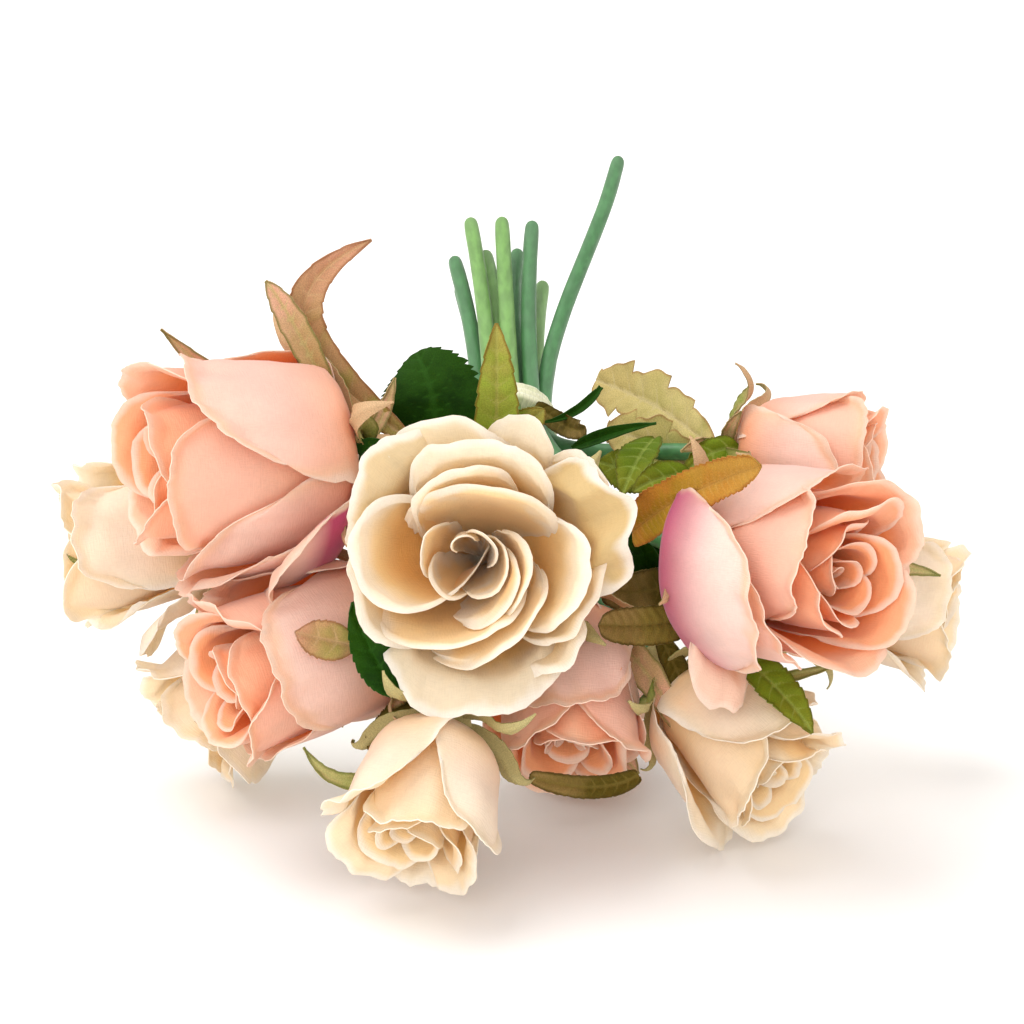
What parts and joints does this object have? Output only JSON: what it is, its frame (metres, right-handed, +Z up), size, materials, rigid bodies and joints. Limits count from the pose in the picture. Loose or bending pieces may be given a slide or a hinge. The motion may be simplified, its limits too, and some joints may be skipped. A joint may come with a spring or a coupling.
{
  "type": "artificial rose bouquet",
  "caption": "Hand-tied bunch of artificial roses with cloth petals, cloth leaves and long green plastic stems held by one taped band, lying on its side.",
  "frame": {"origin": "on the table, under the middle of the whole bunch's box", "axes": "+X to the right of the flower heads, +Y from the flower heads to the cut stem ends, +Z up from the table"},
  "size_m": [0.2582, 0.3072, 0.1565],
  "materials": {
    "cream_petals": "satin woven polyester, cream with paler and yellower cut edges",
    "cream_heart": "satin woven polyester, dyed apricot towards the heart",
    "blush_petals": "satin woven polyester, blush pink with paler cut edges",
    "blush_heart": "satin woven polyester, dyed orange towards the heart",
    "calyx_green": "printed leaf cloth, green fading to brown at the tips",
    "dark_leaf": "dark green coated leaf cloth with pressed veins",
    "olive_leaf": "olive printed leaf cloth with a dark cut edge",
    "tan_leaf": "tan and rose printed leaf cloth",
    "rust_leaf": "golden brown printed leaf cloth",
    "stem_plastic": "satin moulded polyethylene over a wire core",
    "band_tape": "cream floral tape"
  },
  "bodies": {
    "root": {"front_cream_stem": "stem_plastic", "front_cream_calyx": "calyx_green", "front_cream_outer_petals": "cream_petals", "front_cream_inner_petals": "cream_heart", "left_blush_stem": "stem_plastic", "left_blush_calyx": "calyx_green", "left_blush_outer_petals": "blush_petals", "left_blush_inner_petals": "blush_heart", "right_blush_stem": "stem_plastic", "right_blush_calyx": "calyx_green", "right_blush_outer_petals": "blush_petals", "right_blush_inner_petals": "blush_heart", "far_left_cream_stem": "stem_plastic", "far_left_cream_calyx": "calyx_green", "far_left_cream_outer_petals": "cream_petals", "far_left_cream_inner_petals": "cream_heart", "low_left_blush_stem": "stem_plastic", "low_left_blush_calyx": "calyx_green", "low_left_blush_outer_petals": "blush_petals", "low_left_blush_inner_petals": "blush_heart", "table_left_cream_stem": "stem_plastic", "table_left_cream_calyx": "calyx_green", "table_left_cream_outer_petals": "cream_petals", "table_left_cream_inner_petals": "cream_heart", "bottom_left_cream_stem": "stem_plastic", "bottom_left_cream_calyx": "calyx_green", "bottom_left_cream_outer_petals": "cream_petals", "bottom_left_cream_inner_petals": "cream_heart", "centre_blush_stem": "stem_plastic", "centre_blush_calyx": "calyx_green", "centre_blush_outer_petals": "blush_petals", "centre_blush_inner_petals": "blush_heart", "bottom_right_cream_stem": "stem_plastic", "bottom_right_cream_calyx": "calyx_green", "bottom_right_cream_outer_petals": "cream_petals", "bottom_right_cream_inner_petals": "cream_heart", "far_right_cream_stem": "stem_plastic", "far_right_cream_calyx": "calyx_green", "far_right_cream_outer_petals": "cream_petals", "far_right_cream_inner_petals": "cream_heart", "back_right_blush_stem": "stem_plastic", "back_right_blush_calyx": "calyx_green", "back_right_blush_outer_petals": "blush_petals", "back_right_blush_inner_petals": "blush_heart", "under_blush_stem": "stem_plastic", "under_blush_calyx": "calyx_green", "under_blush_outer_petals": "blush_petals", "under_blush_inner_petals": "blush_heart", "stem_band": "band_tape", "top_dark_leaf": "dark_leaf", "left_dark_leaf": "dark_leaf", "low_dark_leaf": "dark_leaf", "top_olive_leaf": "olive_leaf", "right_green_leaf": "calyx_green", "low_right_leaf": "calyx_green", "slim_dark_leaf": "dark_leaf", "back_tan_leaf": "tan_leaf", "golden_leaf": "rust_leaf", "strip_leaf": "olive_leaf", "curled_leaf": "tan_leaf"}
  },
  "joints": []
}
